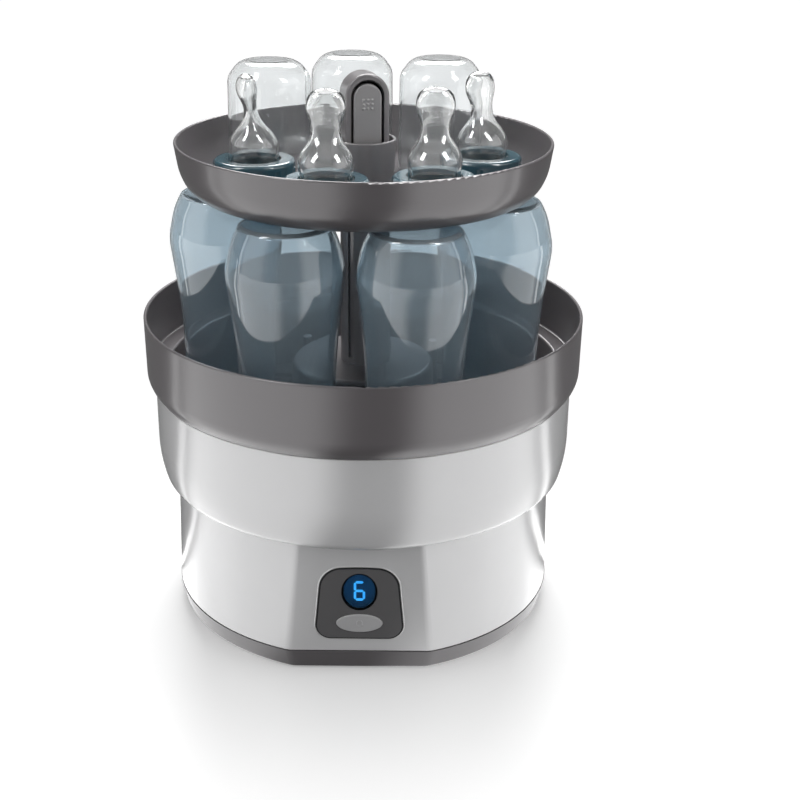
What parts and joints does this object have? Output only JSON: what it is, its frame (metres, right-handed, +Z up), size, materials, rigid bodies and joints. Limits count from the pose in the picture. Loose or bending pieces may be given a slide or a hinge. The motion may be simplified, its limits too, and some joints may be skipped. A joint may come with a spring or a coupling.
{
  "type": "bottle sterilizer",
  "caption": "Electric steam sterilizer for baby bottles: round white base with a flat control front, dark basket, central column, upper tray with tongs.",
  "frame": {"origin": "on the vertical axis of the round body, at the level of the rubber feet's underside", "axes": "+Z up along the body's axis, -Y towards the front with the control panel, +X to the right as seen from the back, which is the viewer's right when looking at the front"},
  "size_m": [0.2804, 0.2804, 0.3485],
  "materials": {
    "white_plastic": "glossy",
    "dark_plastic": "semi-gloss",
    "foot_rubber": "matt",
    "seal_rubber": "matt",
    "steel": "brushed",
    "element_metal": "satin",
    "dark_part": "matt",
    "brass_metal": "satin",
    "board_green": "satin",
    "pale_part": "matt",
    "lead_sleeve": "matt",
    "panel_plastic": "glossy",
    "display_glass": "glossy",
    "display_case": "glossy",
    "digit_light": "lit",
    "button_plastic": "satin",
    "lining_black": "matt",
    "lever_plastic": "satin",
    "bottle_blue": "clear, tinted",
    "clear_plastic": "clear",
    "ring_teal": "glossy",
    "clear_silicone": "clear"
  },
  "bodies": {
    "base": {"base_housing": "white_plastic", "bowl_housing": "white_plastic", "bottom_cover": "dark_plastic", "rubber_feet": "foot_rubber", "bottom_screws": "steel", "water_bowl": "white_plastic", "plate_seal": "seal_rubber", "heating_plate": "steel", "clamp_ring": "steel", "plate_screws": "steel", "heating_element": "element_metal", "thermostat": "dark_part", "thermal_fuse": "brass_metal", "power_board": "board_green", "relay": "dark_part", "terminal_block": "pale_part", "heater_leads": "lead_sleeve", "cord_gland": "dark_part", "gland_nut": "dark_part", "control_panel": "panel_plastic", "panel_gasket": "seal_rubber", "display_window": "display_glass", "display_module": "display_case", "display_digit": "digit_light", "control_board": "board_green", "button_switch": "dark_part", "board_screws": "steel"},
    "power_button": {"power_button": "button_plastic", "switch_plunger": "pale_part"},
    "basket": {"bottle_basket": "dark_plastic", "bottle_rack": "dark_plastic", "column": "dark_plastic", "column_screw": "steel", "bottle_left": "bottle_blue", "bottle_front_left": "bottle_blue", "bottle_front_right": "bottle_blue", "bottle_right": "bottle_blue"},
    "tray": {"upper_tray": "dark_plastic", "tongs_socket": "dark_plastic"},
    "tongs": {"tongs_frame": "dark_plastic", "tongs_lining": "lining_black", "tongs_pin": "steel", "tongs_spring": "steel"},
    "tongs_lever": {"tongs_lever": "lever_plastic"},
    "cap_left": {"cap_left": "clear_plastic"},
    "cap_middle": {"cap_middle": "clear_plastic"},
    "cap_right": {"cap_right": "clear_plastic"},
    "teat_left": {"ring_left": "ring_teal", "teat_left": "clear_silicone"},
    "teat_front_left": {"ring_front_left": "ring_teal", "teat_front_left": "clear_silicone"},
    "teat_front_right": {"ring_front_right": "ring_teal", "teat_front_right": "clear_silicone"},
    "teat_right": {"ring_right": "ring_teal", "teat_right": "clear_silicone"}
  },
  "joints": [
    {"name": "button_press", "type": "slide", "parent": "base", "child": "power_button", "axis": [0, 1, 0], "range_m": [0, 0.001], "stiffness_N_per_m": 400, "springref_m": -0.0005},
    {"name": "basket_lift", "type": "slide", "parent": "base", "child": "basket", "axis": [0, 0, 1], "range_m": [0, 0.12]},
    {"name": "tray_lift", "type": "slide", "parent": "basket", "child": "tray", "axis": [0, 0, 1], "range_m": [0, 0.08]},
    {"name": "tongs_lift", "type": "slide", "parent": "tray", "child": "tongs", "axis": [0, 0, 1], "range_m": [0, 0.13]},
    {"name": "tongs_squeeze", "type": "hinge", "parent": "tongs", "child": "tongs_lever", "pos_m": [0.00073, -0.00291, 0.3], "axis": [-0.9703, -0.2419, 0], "range_deg": [0, 3], "stiffness_Nm_per_rad": 0.2, "springref_deg": -5.73},
    {"name": "cap_left_lift", "type": "slide", "parent": "tray", "child": "cap_left", "axis": [0, 0, 1], "range_m": [0, 0.1]},
    {"name": "cap_middle_lift", "type": "slide", "parent": "tray", "child": "cap_middle", "axis": [0, 0, 1], "range_m": [0, 0.1]},
    {"name": "cap_right_lift", "type": "slide", "parent": "tray", "child": "cap_right", "axis": [0, 0, 1], "range_m": [0, 0.1]},
    {"name": "teat_left_lift", "type": "slide", "parent": "tray", "child": "teat_left", "axis": [0, 0, 1], "range_m": [0, 0.1]},
    {"name": "teat_front_left_lift", "type": "slide", "parent": "tray", "child": "teat_front_left", "axis": [0, 0, 1], "range_m": [0, 0.1]},
    {"name": "teat_front_right_lift", "type": "slide", "parent": "tray", "child": "teat_front_right", "axis": [0, 0, 1], "range_m": [0, 0.1]},
    {"name": "teat_right_lift", "type": "slide", "parent": "tray", "child": "teat_right", "axis": [0, 0, 1], "range_m": [0, 0.1]}
  ]
}
